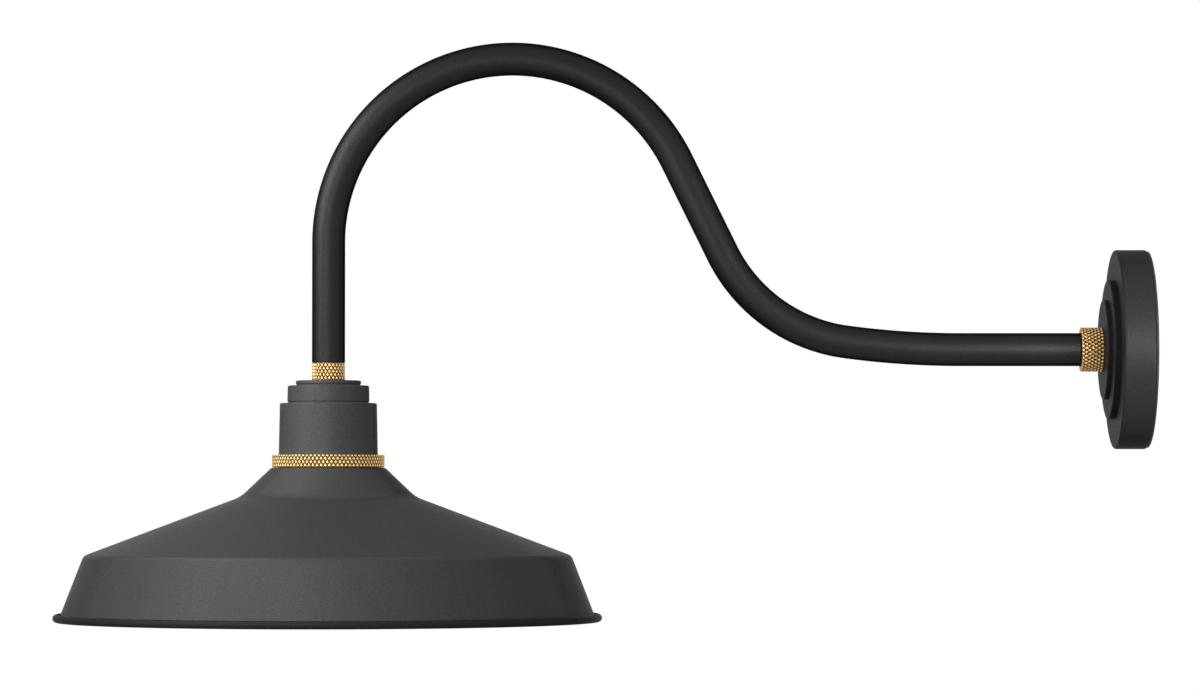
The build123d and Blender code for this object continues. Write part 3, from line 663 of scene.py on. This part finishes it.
def arm_axis(station, out, side):
    """Places round the arm's bent centre line: out lies in the plane of the bends, side across it."""
    heading = np.interp(station, arm_stations, arm_headings)
    x = np.interp(station, arm_stations, arm_points[:, 0]) + out * np.sin(heading)
    z = np.interp(station, arm_stations, arm_points[:, 1]) - out * np.cos(heading)
    return np.stack(np.broadcast_arrays(x, side, z), axis=-1)


def bent_arm():
    """Tube wall carried along the bent centre line: outer wall, rounded end, bore and rounded end."""
    bore = arm_radius - arm_wall
    length = arm_stations[-1]
    line = rounded(sleeve(bore, arm_radius, 0, length), 0.5, steps=4)
    grid = turned(arm_axis, finer(line, long_spacing), arm_spokes)
    return put(skin("bent_arm", [grid], [tube_coat_darkened_as_shade]), "fixture", "charcoal_coat", "gooseneck_arm")


bent_arm()


# Shade

def shade_line():
    """Outer line of the shade's sheet: flat neck, cone, wide cone and skirt with bends, then the bead.

    The skirt touches the bead's circle, and the bead turns on from there: each point is the circle's
    centre plus the curl radius to the right of the heading. Returns the line and its first bead point.
    """
    bottom, top = low_high("shade", 2)
    curl = bead_radius - shade_wall
    centre = np.array([half_width("shade") - bead_radius, bottom + bead_radius])
    shoulder = np.array([shade_shoulder[0], top - shade_shoulder[1]])
    way = centre - shoulder
    lean = atan2(way[0], -way[1]) - asin(curl / hypot(*way))
    skirt = hypot(*way) * cos(asin(curl / hypot(*way)))
    foot = shoulder + skirt * np.array([sin(lean), -cos(lean)])
    sheet = rounded(
        [(neck_hole, top), (shade_neck, top), (shade_knee[0], top - shade_knee[1]), shoulder, foot],
        [0, *shade_bends, 0],
        closed=False,
        steps=8,
        hold=1.0,
    )
    sheet = finer(sheet, long_spacing, closed=False)
    heading = lean - pi / 2 + np.linspace(0, bead_turn, bead_points)
    bead = centre + curl * np.stack([np.sin(heading), -np.cos(heading)], axis=1)
    return np.concatenate([sheet, bead[1:]]), len(sheet)


def spun_shade():
    """Outer line and the same line one sheet thickness to its right, joined at both ends and turned round.

    The right of a heading (a, b) is (b, -a). The inside is enamelled down to the bead.
    """
    outer, bead_start = shade_line()
    heading = unit(np.gradient(outer, axis=0))
    inner = outer + shade_wall * np.stack([heading[:, 1], -heading[:, 0]], axis=1)
    line = np.concatenate([inner, outer[::-1]])
    along = np.concatenate([np.arange(len(outer)), np.arange(len(outer))[::-1]])
    inside = np.arange(len(line)) < len(outer) - 1
    # Bead faces take the bead's darker copy of the coat, painted shade; the inside down to the bead takes
    # the enamel.
    coats = np.where(along >= bead_start - 1, 1, np.where(inside, 2, 0))
    grid = turned(head_axis, line, shade_spokes)
    shade = skin("spun_shade", [grid], [sheet_coat, bead_coat_darkened_as_shade, enamel], face_finish=coats)
    return put(shade, "head", "charcoal_coat", "shade")


spun_shade()


# Socket cup

cup_wall = 3.0
cup_round = 1.2
relief = (0.5, 1.2)             # depth and height of the groove at a tier's foot
tier_one = (24.55, 3.8)         # radius, height
tier_two = (30.6, 13.2)
tier_three = (36.5, 39.0)
cup_draft = tan(radians(1.1))
cup_skirt = 3.0
cup_neck = 33.0
cup_neck_wall = 3.2
cup_neck_pitch = 1.5
cup_neck_depth = 0.5            # of its thread
cup_hole = 10.05                # in the cup, its washer and its nut
boss_radius = 4.5
boss_height = 5.0
boss_hole = 1.95
boss_places = (-28.0, 28.0)


def tiered_cup():
    """Three stepped tiers with a slight draft, the threaded neck below, and the two bosses inside."""
    bottom, top = low_high("socket_cup", 2)
    one_foot = top - tier_one[1]
    two_foot = one_foot - tier_two[1]
    three_foot = two_foot - tier_three[1] - cup_skirt
    two_out = tier_two[0] + tier_two[1] * cup_draft
    three_out = tier_three[0] + (tier_three[1] + cup_skirt) * cup_draft
    corners = [
        (cup_hole, top), (tier_one[0], top), (tier_one[0], one_foot + relief[1]),
        (tier_one[0] - relief[0], one_foot + relief[1]), (tier_one[0] - relief[0], one_foot),
        (tier_two[0], one_foot), (two_out, two_foot + relief[1]),
        (two_out - relief[0], two_foot + relief[1]), (two_out - relief[0], two_foot),
        (tier_three[0], two_foot), (three_out, three_foot),
        (cup_neck, three_foot), (cup_neck, bottom), (cup_neck - cup_neck_wall, bottom),
        (cup_neck - cup_neck_wall, three_foot + cup_wall), (three_out - cup_wall, three_foot + cup_wall),
        (tier_three[0] - cup_wall, two_foot - cup_wall), (two_out - cup_wall, two_foot - cup_wall),
        (tier_two[0] - cup_wall, one_foot - cup_wall), (tier_one[0] - cup_wall, one_foot - cup_wall),
        (tier_one[0] - cup_wall, top - cup_wall), (cup_hole, top - cup_wall),
    ]
    foot = (0.2, 0.2, 0.2)
    rounds = [0.2, cup_round, *foot, cup_round, *foot, cup_round, 0.4, 0.2, 0.4, 0.4] + [0.2] * 8
    line = finer(rounded(corners, rounds), 0.25, near=cup_neck)
    thread = screw_thread(cup_neck, cup_neck_pitch, cup_neck_depth, bottom - 1, three_foot)
    grids = [turned(head_axis, line, cup_spokes, thread)]
    boss_top = two_foot - cup_wall / 2
    boss_foot = two_foot - cup_wall - boss_height
    boss = rounded(sleeve(boss_hole, boss_radius, boss_foot, boss_top), 0.25)
    grids += [turned(head_axis, boss, boss_spokes) + np.array([place, 0, 0]) for place in boss_places]
    return put(skin("tiered_cup", grids, [cup_coat]), "head", "charcoal_coat", "socket_cup")


tiered_cup()


# Knurled brass rings

def wall_collar():
    """Collar that closes on the arm at the wall: knurled wall, round lip towards the room, plain bores."""
    back, front = stations("wall_collar", wall_axis)
    outer = half_width("wall_collar")
    bore, lip_bore, lip, plain_edge = 14.5, 12.8, 4.0, 0.5
    corners = [
        (bore, back), (outer, back), (outer, front),
        (lip_bore, front), (lip_bore, front - lip), (bore, front - lip),
    ]
    line = finer(rounded(corners, [0.2, 0.35, 0.9, 0.3, 0.2, 0.2]), 0.22, near=outer)
    grid, grooves = knurled(wall_axis, line, outer, collar_knurl, back, front - plain_edge)
    piece = skin("knurled_collar", [grid], [wall_brass_darkened_as_shade], shades=[grooves])
    return put(piece, "wall_collar", "knurled_brass", "wall_collar")


def shade_coupling():
    """Union nut under the arm: knurled wall, an inward lip above, a plain bore below."""
    bottom, top = stations("shade_coupling", head_axis)
    outer = half_width("shade_coupling")
    bore, lip_bore, lip = 10.3, 8.6, 3.4
    corners = [
        (bore, bottom), (outer, bottom), (outer, top),
        (lip_bore, top), (lip_bore, top - lip), (bore, top - lip),
    ]
    line = finer(rounded(corners, [0.2, 0.45, 0.45, 0.2, 0.2, 0.2]), 0.2, near=outer)
    grid, grooves = knurled(head_axis, line, outer, coupling_knurl, bottom, top)
    piece = skin("knurled_union_nut", [grid], [head_brass], shades=[grooves])
    return put(piece, "shade_coupling", "knurled_brass", "shade_coupling")


def shade_ring():
    """Ring above the shade: knurled wall, a counterbore round the cup above, a gasket recess below."""
    bottom, top = stations("shade_ring", head_axis)
    outer = half_width("shade_ring")
    cup_clear, counterbore = 37.61, 5.2
    recess, recess_depth = 39.2, 1.5
    corners = [
        (recess, bottom), (outer, bottom), (outer, top),
        (cup_clear, top), (cup_clear, top - counterbore), (neck_hole, top - counterbore),
        (neck_hole, bottom + recess_depth), (recess, bottom + recess_depth),
    ]
    line = finer(rounded(corners, [0.2, 0.5, 0.5, 0.3, 0.2, 0.2, 0.2, 0.2], steps=3), 0.25, near=outer)
    grid, grooves = knurled(head_axis, line, outer, ring_knurl, bottom, top)
    piece = skin("knurled_shade_ring", [grid], [head_brass], shades=[grooves])
    return put(piece, "shade_ring", "knurled_brass", "shade_ring")


wall_collar()
shade_coupling()
shade_ring()


# Threads, nuts, washers and soft rings

wall_hole = 8.35                # in the washer and the nut on the wall nipple


def canopy_thread():
    """Thread cut on the canopy's spigot, a thin sleeve on it that the collar runs on."""
    room_end, wall_end = 44.0, 34.0
    crest, bore = 14.4, 13.1
    pitch, depth, spokes = 2.0, 0.7, 144
    line = finer(rounded(sleeve(bore, crest, wall_end, room_end), 0.2), 0.18, near=crest)
    thread = screw_thread(crest, pitch, depth, wall_end - pitch, room_end)
    piece = skin("canopy_spigot_thread", [turned(wall_axis, line, spokes, thread)], [canopy_coat_darkened_as_shade])
    return put(piece, "fixture", "charcoal_coat")


def threaded_tube(name, node, axis, body, finish, slot, bore, pitch):
    """Hollow nipple, threaded over its whole length with run-out chamfers at its ends."""
    low, high = stations(node, axis)
    crest = half_width(node)
    depth, spokes = 0.55, 120
    section = rounded(sleeve(bore, crest, low, high), [0.3, 0.6, 0.6, 0.3])
    thread = screw_thread(crest, pitch, depth, low - pitch, high + pitch)
    grid = turned(axis, finer(section, 0.18, near=crest), spokes, thread)
    return put(skin(name, [grid], [finish]), body, slot, node)


def hexagon_nut(name, node, axis, body, flats, turn, bore):
    """Hexagon nut: a turned blank with chamfered ends, cut to six flats."""
    low, high = stations(node, axis)
    face, rim, spokes = flats / 2 - 0.4, 0.25, 240
    corner = flats / 2 / cos(pi / 6)
    drop = (corner - flats / 2) * tan(radians(30)) + rim
    corners = [
        (bore, low), (face, low), (corner, low + drop),
        (corner, high - drop), (face, high), (bore, high),
    ]
    line = finer(rounded(corners, [0.4, 0.15, 0.1, 0.1, 0.15, 0.4]), 0.3)
    grid = turned(axis, line, spokes, hexagon(flats, turn))
    return put(skin(name, [grid], [zinc]), body, "zinc_steel", node)


def toothed_washer(name, node, axis, body, bore):
    """Lock washer with twelve twisted outer teeth."""
    low, high = stations(node, axis)
    outer, teeth, lift, spokes = 13.0, 12, 0.6, 360
    line = finer(rounded(sleeve(bore, outer, low, high), 0.15), 0.3)
    grid = turned(axis, line, spokes, toothed(outer, (outer + bore) / 2, teeth, lift))
    return put(skin(name, [grid], [zinc]), body, "zinc_steel", node)


def soft_ring(name, node, axis, body, inner, edge):
    """Rubber ring with rounded edges."""
    low, high = stations(node, axis)
    spokes = 200
    line = finer(rounded(sleeve(inner, half_width(node), low, high), edge), 0.8)
    return put(skin(name, [turned(axis, line, spokes)], [rubber]), body, "black_rubber", node)


canopy_thread()
threaded_tube(
    "threaded_wall_nipple", "wall_nipple", wall_axis, "fixture", zinc, "zinc_steel", bore=5.5, pitch=1.4
)
hexagon_nut(
    "wall_hexagon_nut", "wall_lock_nut", wall_axis, "fixture", flats=24.0, turn=pi / 6, bore=wall_hole
)
toothed_washer("wall_toothed_washer", "wall_lock_washer", wall_axis, "fixture", bore=wall_hole)
soft_ring("canopy_gasket", "wall_gasket", wall_axis, "fixture", inner=66.0, edge=0.4)
soft_ring("collar_sealing_ring", "collar_seal", wall_axis, "collar_seal", inner=12.65, edge=0.7)
threaded_tube(
    "threaded_cup_nipple", "cup_nipple", head_axis, "head", pressed_brass, "plain_brass",
    bore=6.5, pitch=1.5,
)
hexagon_nut("cup_hexagon_nut", "cup_lock_nut", head_axis, "head", flats=27.0, turn=0.0, bore=cup_hole)
toothed_washer("cup_toothed_washer", "cup_lock_washer", head_axis, "head", bore=cup_hole)
soft_ring("shade_gasket", "ring_gasket", head_axis, "ring_gasket", inner=neck_hole, edge=0.35)


# Lamp and holder

def holder_shell():
    """Pressed brass shell of the holder: rolled thread and an inward flange at its closed end."""
    low, high = low_high("screw_shell", 2)
    outer = half_width("screw_shell")
    wall, flange, slack = 0.5, 5.0, 0.1
    plain_mouth, plain_end = 0.5, 2.5
    corners = [
        (outer - wall, low), (outer, low), (outer, high),
        (outer - flange, high), (outer - flange, high - wall), (outer - wall, high - wall),
    ]
    line = finer(rounded(corners, [0.15, 0.15, 0.8, 0.15, 0.15, 0.3]), 0.3)
    thread = rolled_thread(outer - wall - slack, low + plain_mouth, high - plain_end)
    grid = turned(head_axis, line, lamp_spokes, thread)
    return put(skin("holder_screw_shell", [grid], [pressed_brass]), "head", "plain_brass", "screw_shell")


def lamp_cap():
    """Screw cap of the lamp: a rolled thread that runs in to its root above, a cone towards the insulator,
    and a plain edge below."""
    low, high = low_high("lamp_base", 2)
    outer = half_width("lamp_base")
    wall, shoulder, run_in, eye = 0.6, 2.0, 2.0, 10.25
    slack, plain_edge = 0.1, 0.6
    corners = [
        (outer - wall, low), (outer, low), (outer, high - shoulder - run_in),
        (outer - 2 * lamp_thread_swing, high - shoulder), (eye, high), (eye, high - wall),
        (outer - wall, high - shoulder - wall),
    ]
    line = finer(rounded(corners, [0.15, 0.3, 0.5, 0.8, 0.2, 0.1, 0.3]), 0.3)
    thread = rolled_thread(outer - wall + slack, low + plain_edge, high - shoulder)
    grid = turned(head_axis, line, lamp_spokes, thread)
    return put(skin("lamp_screw_cap", [grid], [nickel]), "lamp", "lamp_metal", "lamp_base")


def lamp_tip():
    """Soldered tip contact: a low round button."""
    low, high = low_high("lamp_contact", 2)
    wide = half_width("lamp_contact")
    rim, crown, spokes = 0.7, 0.55 * wide, 64
    corners = [(0, low), (wide, low), (wide, low + rim), (crown, high), (0, high)]
    line = finer(rounded(corners, [0, 0.15, 0.5, 1.0, 0], closed=False), 0.3, closed=False)
    piece = skin("lamp_tip_button", [turned(head_axis, line, spokes)], [nickel], closed=False)
    return put(piece, "lamp_tip", "lamp_metal", "lamp_contact")


def lamp_insulator():
    """Black glass insulator between the cap and the tip."""
    low, high = low_high("lamp_insulator", 2)
    wide = half_width("lamp_insulator")
    rim, crown, spokes = 0.6, 4.8, 96
    corners = [(0, low), (wide, low), (wide, low + rim), (crown, high), (0, high)]
    line = finer(rounded(corners, [0, 0.15, 0.5, 0.4, 0], closed=False), 0.5, closed=False)
    piece = skin("lamp_black_insulator", [turned(head_axis, line, spokes)], [lamp_black], closed=False)
    return put(piece, "lamp", "lamp_black", "lamp_insulator")


def lamp_glass():
    """Round lamp glass, blown hollow: straight neck, concave flank and ball, all touching.

    The flank's radius f puts its centre level with the neck's end, f outside the neck, and
    (neck + f)^2 + drop^2 = (ball + f)^2. The same line lies a wall thickness inside.
    """
    low, high = low_high("lamp_globe", 2)
    ball = half_width("lamp_globe")
    neck, neck_length, wall, arc_points = 12.45, 7.0, 0.9, 33
    centre = low + ball
    neck_end = high - neck_length
    drop = neck_end - centre
    flank = (neck**2 + drop**2 - ball**2) / (2 * (ball - neck))
    swing = atan(drop / (neck + flank))
    share = np.linspace(0, 1, arc_points)[:, None]
    bend_radius = neck + flank - flank * np.cos(swing * share)
    bend_height = neck_end - flank * np.sin(swing * share)
    bend = np.concatenate([bend_radius, bend_height], axis=1)
    angle = swing - share * (swing + pi / 2)
    round_part = np.concatenate([ball * np.cos(angle), centre + ball * np.sin(angle)], axis=1)
    round_part[-1, 0] = 0
    outer = np.concatenate([[[neck, high]], bend, round_part[1:]])
    heading = unit(np.gradient(outer, axis=0))
    inner = outer + wall * np.stack([heading[:, 1], -heading[:, 0]], axis=1)
    inner[0] = (neck - wall, high)
    inner[-1] = (0, low + wall)
    line = finer(np.concatenate([outer[::-1], inner]), 1.5, closed=False)
    grid = turned(head_axis, line, lamp_spokes)
    return put(skin("lamp_glass", [grid], [opal], closed=False), "lamp", "opal_glass", "lamp_globe")


holder_shell()
lamp_cap()
lamp_tip()
lamp_insulator()
lamp_glass()


# Pieces of the frame that stay as they are, with their finishes
kept_finishes = {
    "wall_canopy": canopy_coat_darkened_as_shade,
    "mounting_strap": zinc,
    "canopy_set_screws": zinc,
    "ground_screw": green_zinc,
    "arm_wall_bush": zinc,
    "wire_bushing": nylon,
    "arm_union_tail": pressed_brass,
    "shade_lock_ring": zinc,
    "socket_strap": zinc,
    "strap_screws": zinc,
    "socket_body": porcelain,
    "socket_screws": zinc,
    "terminal_screws": pressed_brass,
    "centre_contact": pressed_brass,
}
for node, finish in kept_finishes.items():
    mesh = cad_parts[node].data
    mesh.materials.clear()
    mesh.materials.append(finish)


# Floor, light and camera

floor_height = -0.62
floor_radius = 4.0
floor_fade = 1.6                # width of the band over which it turns white
floor_white = 0.8               # share of white at its middle
floor_tone = (0.86, 0.86, 0.855)
bounce_tone = (0.15, 0.15, 0.15)
sky_low = (0.01, 0.01, 0.01)
sky_high = (0.03, 0.03, 0.031)


def pale_floor():
    """Round floor: rings of points out to its radius. It keeps the shadow near the light and fades to the
    white background at its edge, and from below it lets the view through."""
    rings, spokes = 9, 96
    radius = np.linspace(0, floor_radius, rings)[:, None]
    angle = np.linspace(0, FULL_TURN, spokes, endpoint=False)
    across = head_x / 2 + radius * np.cos(angle) / MM
    grid = np.stack(np.broadcast_arrays(across, radius * np.sin(angle) / MM, floor_height / MM), axis=-1)
    finish = bpy.data.materials.new("pale floor")
    finish.use_nodes = True
    tree = finish.node_tree
    tree.nodes.clear()
    place = tree.nodes.new("ShaderNodeTexCoord").outputs["Object"]
    middle = (head_x * MM / 2, 0, floor_height)
    flat = add(tree, "ShaderNodeVectorMath", {0: place, 1: middle}, operation="DISTANCE")
    fade = between(tree, flat.outputs["Value"], floor_radius - floor_fade, floor_radius)
    path = tree.nodes.new("ShaderNodeLightPath").outputs
    seen = reckon(tree, "MAXIMUM", path["Is Camera Ray"], path["Is Glossy Ray"])
    tone = blend_colour(tree, path["Is Diffuse Ray"], tint(floor_tone), tint(bounce_tone))
    ground = add(tree, "ShaderNodeBsdfDiffuse", {"Color": tone}).outputs[0]
    white = add(tree, "ShaderNodeEmission", {"Color": (1, 1, 1, 1), "Strength": 1.0}).outputs[0]
    share = reckon(tree, "MULTIPLY", between(tree, fade, 0, 1, floor_white, 1.0), seen)
    lit = add(tree, "ShaderNodeMixShader", {0: share, 1: ground, 2: white}).outputs[0]
    through = tree.nodes.new("ShaderNodeBsdfTransparent").outputs[0]
    below = tree.nodes.new("ShaderNodeNewGeometry").outputs["Backfacing"]
    sides = add(tree, "ShaderNodeMixShader", {0: below, 1: lit, 2: through}).outputs[0]
    add(tree, "ShaderNodeOutputMaterial", {"Surface": sides})
    floor = skin("floor", [grid[::-1]], [finish], closed=False)
    return floor


def studio_world():
    """White to the camera, to gloss and to glass; a dim sky for the rest, darker below."""
    world = bpy.data.worlds.new("studio")
    bpy.context.scene.world = world
    world.use_nodes = True
    tree = world.node_tree
    tree.nodes.clear()
    path = tree.nodes.new("ShaderNodeLightPath").outputs
    seen = reckon(tree, "MAXIMUM", path["Is Camera Ray"], path["Is Glossy Ray"])
    seen = reckon(tree, "MAXIMUM", seen, path["Is Transmission Ray"])
    way = tree.nodes.new("ShaderNodeTexCoord").outputs["Generated"]
    up = add(tree, "ShaderNodeSeparateXYZ", {0: way}).outputs[2]
    sky = blend_colour(tree, between(tree, up, -0.3, 0.5), tint(sky_low), tint(sky_high))
    dim = add(tree, "ShaderNodeBackground", {"Color": sky, "Strength": 1.0}).outputs[0]
    white = add(tree, "ShaderNodeBackground", {"Color": (1, 1, 1, 1), "Strength": 1.0}).outputs[0]
    mixed = add(tree, "ShaderNodeMixShader", {0: seen, 1: dim, 2: white}).outputs[0]
    add(tree, "ShaderNodeOutputWorld", {"Surface": mixed})


light_aim = Vector((head_x * MM * 0.7, 0, -0.03))
head_aim = Vector((head_x * MM, 0, -0.08))
wall_aim = Vector((head_x * MM * 0.1, 0, 0))
mouth_rise = 4.0                # of the mouth light above the shade's edge
mouth_aim = Vector((head_x * MM, 0, (low_high("shade", 2)[0] + mouth_rise) * MM))


def soft_light(name, aim, azimuth, elevation, distance, size, power, glossy=True, beam=180):
    """Rectangular soft light that looks at a place, given by angles in degrees and sizes in metres.

    The camera doesn't see it, and neither does gloss where glossy is False.
    """
    lamp = bpy.data.lights.new(name, "AREA")
    lamp.shape = "RECTANGLE"
    lamp.size, lamp.size_y = size
    lamp.energy = power
    lamp.spread = radians(beam)
    holder = bpy.data.objects.new(name, lamp)
    turn, rise = radians(azimuth), radians(elevation)
    way = Vector((sin(turn) * cos(rise), -cos(turn) * cos(rise), sin(rise)))
    holder.location = aim + way * distance
    holder.rotation_euler = (-way).to_track_quat("-Z", "Y").to_euler()
    holder.visible_camera = False
    holder.visible_glossy = glossy
    bpy.context.scene.collection.objects.link(holder)


pale_floor()
studio_world()
soft_light("key light", light_aim, azimuth=-58, elevation=13, distance=2.6, size=(0.9, 0.9), power=24)
soft_light(
    "fill light", light_aim, azimuth=28, elevation=26, distance=2.6, size=(0.9, 0.9), power=9.5,
    glossy=False,
)
soft_light("head light", head_aim, azimuth=-12, elevation=12, distance=0.9, size=(0.32, 0.32), power=2.6)
soft_light(
    "wall light", wall_aim, azimuth=25, elevation=5, distance=0.65, size=(0.23, 0.23), power=0.8, beam=60
)
soft_light("canopy light", wall_aim, azimuth=-80, elevation=20, distance=0.9, size=(0.32, 0.32), power=2.0)
for name, azimuth in (("left back light", 198), ("right back light", 160)):
    soft_light(
        name, light_aim, azimuth, elevation=12, distance=2.6, size=(1.2, 0.8), power=38, glossy=False
    )
soft_light(
    "mouth light", mouth_aim, azimuth=0, elevation=-90, distance=0, size=(0.26, 0.26), power=0.22,
    glossy=False,
)

camera_place = Vector((-0.430, -3.6, -0.106))
camera_aim = Vector((-0.4126, 0, 0.0038))
camera_lens = 143.47
camera_sensor = 36.0

camera_data = bpy.data.cameras.new("camera")
camera_data.sensor_width = camera_sensor
camera_data.lens = camera_lens
camera = bpy.data.objects.new("camera", camera_data)
camera.location = camera_place
camera.rotation_euler = (camera_aim - camera_place).to_track_quat("-Z", "Y").to_euler()
bpy.context.scene.collection.objects.link(camera)
bpy.context.scene.camera = camera
bpy.context.scene.view_settings.view_transform = "Standard"
